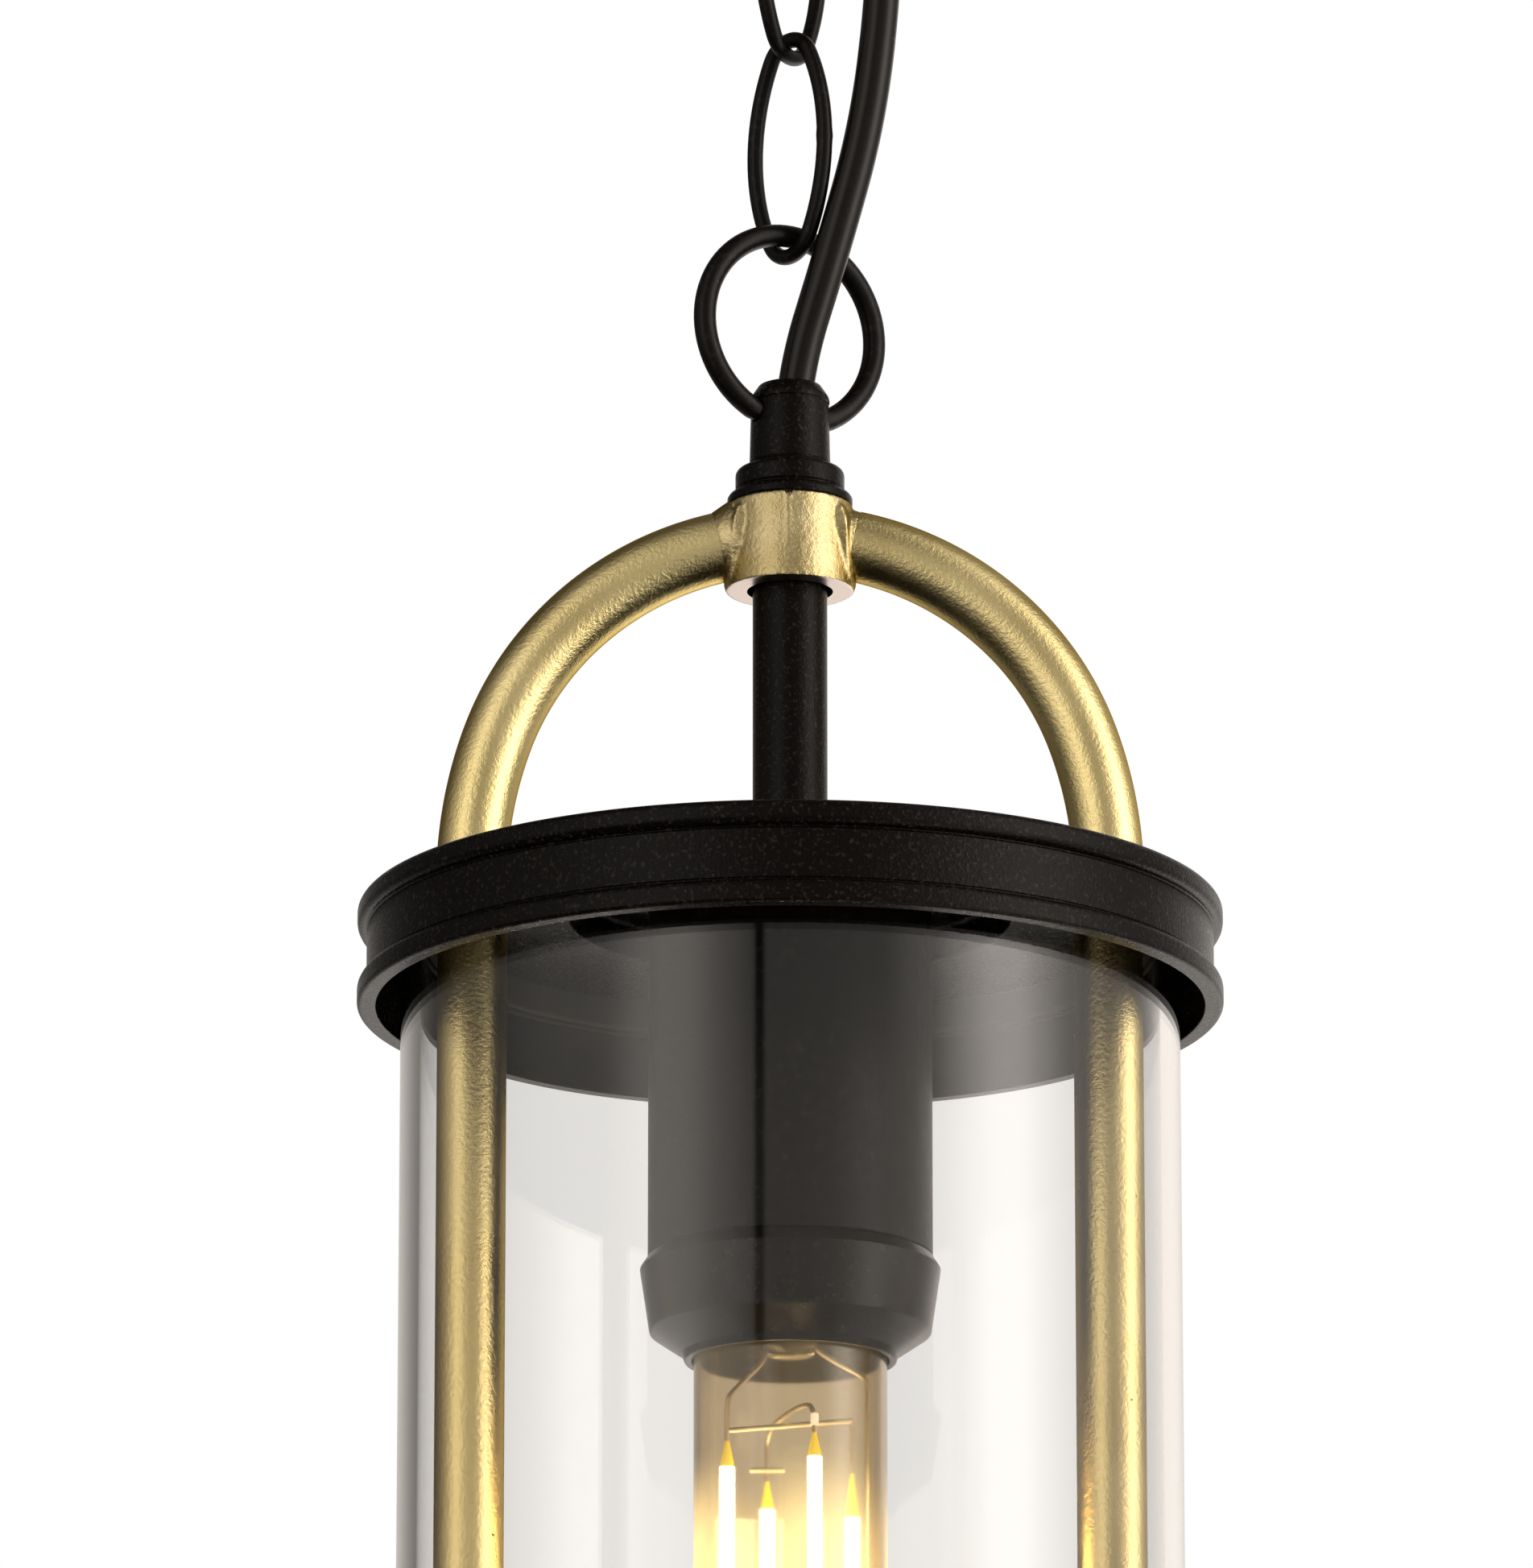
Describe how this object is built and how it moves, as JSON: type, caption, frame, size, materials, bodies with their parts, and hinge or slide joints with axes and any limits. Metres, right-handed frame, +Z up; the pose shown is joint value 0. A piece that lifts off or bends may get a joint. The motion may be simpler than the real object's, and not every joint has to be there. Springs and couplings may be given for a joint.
{
  "type": "hanging lantern",
  "caption": "Glass cylinder lantern with black cap and base ring, a brass tube hoop, and a tubular filament bulb, hung by a ring and short chain from a ceiling rose.",
  "frame": {"origin": "centre of the ceiling bracket's upper face, on the ceiling plane", "axes": "+Z up, along the axis of chain, lantern and bulb; the hoop lies in the XZ plane, +X towards its right leg"},
  "size_m": [0.1334, 0.1334, 0.513],
  "materials": {
    "black_steel": "satin black powder coat on steel",
    "black_wire": "satin black on bent steel wire",
    "brass": "satin brushed brass",
    "clear_glass": "clear, polished",
    "amber_glass": "amber tinted, clear",
    "stem_glass": "clear",
    "rubber": "matt black",
    "flex": "matt black flex sheath",
    "zinc_steel": "bright zinc plated",
    "phenolic": "black moulded phenolic",
    "skirt_black": "satin black coat on aluminium",
    "contact_brass": "bright brass",
    "nickel": "nickel plated",
    "connector_nylon": "natural nylon",
    "core_brown": "core insulation",
    "black_vitrite": "black vitrified insulator",
    "filament": "phosphor coated, lit"
  },
  "bodies": {
    "ceiling": {"ceiling_bracket": "zinc_steel", "ceiling_rose": "black_steel", "rose_screws": "brass", "chain_hook": "black_wire", "hook_nut": "zinc_steel", "hook_collar": "black_steel", "cord_grip": "phenolic", "cord_grip_nut": "phenolic", "terminal_block": "connector_nylon", "core_wires": "core_brown"},
    "link_3": {"chain_link_3": "black_wire"},
    "link_2": {"chain_link_2": "black_wire"},
    "link_1": {"chain_link_1": "black_wire"},
    "ring": {"hanging_ring": "black_wire"},
    "lantern": {"loop_cap": "black_steel", "hub": "brass", "hoop_tube_left": "brass", "hoop_tube_right": "brass", "stem_tube": "black_steel", "threaded_rod": "zinc_steel", "top_cap": "black_steel", "cap_washer": "zinc_steel", "cap_locknut": "zinc_steel", "holder_cup": "skirt_black", "holder_top": "phenolic", "holder_body": "phenolic", "screw_shell": "contact_brass", "centre_contact": "contact_brass", "glass_cylinder": "clear_glass", "upper_gasket": "rubber", "lower_gasket": "rubber", "bottom_ring": "black_steel", "leg_plugs": "contact_brass", "base_screws": "brass", "supply_cable": "flex", "inner_cable": "flex"},
    "skirt": {"holder_skirt": "skirt_black"},
    "bulb": {"bulb_contact": "nickel", "bulb_insulator": "black_vitrite", "bulb_cap": "nickel", "bulb_glass": "amber_glass", "bulb_stem": "stem_glass", "bulb_filaments": "filament", "bulb_leads": "nickel"}
  },
  "joints": [
    {"name": "link_3_swing", "type": "hinge", "parent": "ceiling", "child": "link_3", "pos_m": [0, 0, -0.0582], "axis": [-0.0087, -1, 0], "range_deg": [-15, 15]},
    {"name": "link_2_swing", "type": "hinge", "parent": "link_3", "child": "link_2", "pos_m": [0, 0, -0.09055], "axis": [-0.9563, 0.2924, 0], "range_deg": [-15, 15]},
    {"name": "link_1_swing", "type": "hinge", "parent": "link_2", "child": "link_1", "pos_m": [0, 0, -0.1234], "axis": [0.5519, 0.8339, 0], "range_deg": [-15, 15]},
    {"name": "ring_swing", "type": "hinge", "parent": "link_1", "child": "ring", "pos_m": [0, 0, -0.15625], "axis": [0.6428, -0.766, 0], "range_deg": [-15, 15]},
    {"name": "lantern_swing", "type": "hinge", "parent": "ring", "child": "lantern", "pos_m": [0, 0, -0.1822], "axis": [0.866, 0.5, 0], "range_deg": [-20, 20], "deforming": ["supply_cable"]},
    {"name": "skirt_turn", "type": "hinge", "parent": "lantern", "child": "skirt", "pos_m": [0, 0, -0.3175], "axis": [0, 0, 1], "continuous": true},
    {"name": "bulb_out", "type": "slide", "parent": "lantern", "child": "bulb", "axis": [0, 0, -1], "range_m": [0, 0.225]}
  ]
}
